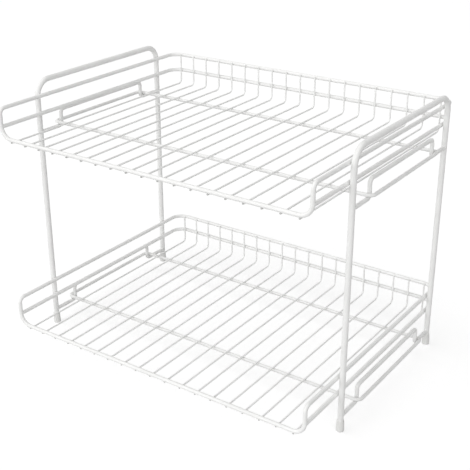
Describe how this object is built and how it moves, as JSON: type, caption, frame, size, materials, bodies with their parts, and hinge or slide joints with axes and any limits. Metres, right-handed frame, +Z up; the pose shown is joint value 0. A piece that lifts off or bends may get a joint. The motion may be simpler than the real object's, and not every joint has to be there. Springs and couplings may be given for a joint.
{
  "type": "two-tier wire storage rack",
  "caption": "Two-tier wire storage rack: two bent-wire side frames on foot caps carry two open-fronted wire baskets that lift off their brackets.",
  "frame": {"origin": "on the ground under the middle of the rack's bounding box", "axes": "+X to the right seen from the open front, along the rack's width; -Y to the front, where the baskets are open; +Z up"},
  "size_m": [0.4138, 0.3073, 0.3073],
  "materials": {
    "powder_coat": "satin white powder coat",
    "foot_plastic": "matte white moulded plastic"
  },
  "bodies": {
    "side_frames": {"left_hoop": "powder_coat", "left_lower_bracket": "powder_coat", "left_upper_bracket": "powder_coat", "left_front_foot_cap": "foot_plastic", "left_rear_foot_cap": "foot_plastic", "right_hoop": "powder_coat", "right_lower_bracket": "powder_coat", "right_upper_bracket": "powder_coat", "right_front_foot_cap": "foot_plastic", "right_rear_foot_cap": "foot_plastic"},
    "lower_basket": {"lower_rim_wire": "powder_coat", "lower_mid_rail": "powder_coat", "lower_support_loop": "powder_coat", "lower_floor_wire_01": "powder_coat", "lower_floor_wire_02": "powder_coat", "lower_floor_wire_03": "powder_coat", "lower_floor_wire_04": "powder_coat", "lower_floor_wire_05": "powder_coat", "lower_floor_wire_06": "powder_coat", "lower_floor_wire_07": "powder_coat", "lower_floor_wire_08": "powder_coat", "lower_floor_wire_09": "powder_coat", "lower_floor_wire_10": "powder_coat", "lower_floor_wire_11": "powder_coat", "lower_floor_wire_12": "powder_coat", "lower_floor_wire_13": "powder_coat", "lower_floor_wire_14": "powder_coat", "lower_floor_wire_15": "powder_coat", "lower_floor_wire_16": "powder_coat", "lower_floor_wire_17": "powder_coat", "lower_floor_wire_18": "powder_coat", "lower_floor_wire_19": "powder_coat"},
    "upper_basket": {"upper_rim_wire": "powder_coat", "upper_mid_rail": "powder_coat", "upper_support_loop": "powder_coat", "upper_floor_wire_01": "powder_coat", "upper_floor_wire_02": "powder_coat", "upper_floor_wire_03": "powder_coat", "upper_floor_wire_04": "powder_coat", "upper_floor_wire_05": "powder_coat", "upper_floor_wire_06": "powder_coat", "upper_floor_wire_07": "powder_coat", "upper_floor_wire_08": "powder_coat", "upper_floor_wire_09": "powder_coat", "upper_floor_wire_10": "powder_coat", "upper_floor_wire_11": "powder_coat", "upper_floor_wire_12": "powder_coat", "upper_floor_wire_13": "powder_coat", "upper_floor_wire_14": "powder_coat", "upper_floor_wire_15": "powder_coat", "upper_floor_wire_16": "powder_coat", "upper_floor_wire_17": "powder_coat", "upper_floor_wire_18": "powder_coat", "upper_floor_wire_19": "powder_coat"}
  },
  "joints": [
    {"name": "lower_basket_lift", "type": "slide", "parent": "side_frames", "child": "lower_basket", "axis": [0, 0, 1], "range_m": [0, 0.1835]},
    {"name": "upper_basket_lift", "type": "slide", "parent": "side_frames", "child": "upper_basket", "axis": [0, 0, 1], "range_m": [0, 0.048]}
  ]
}
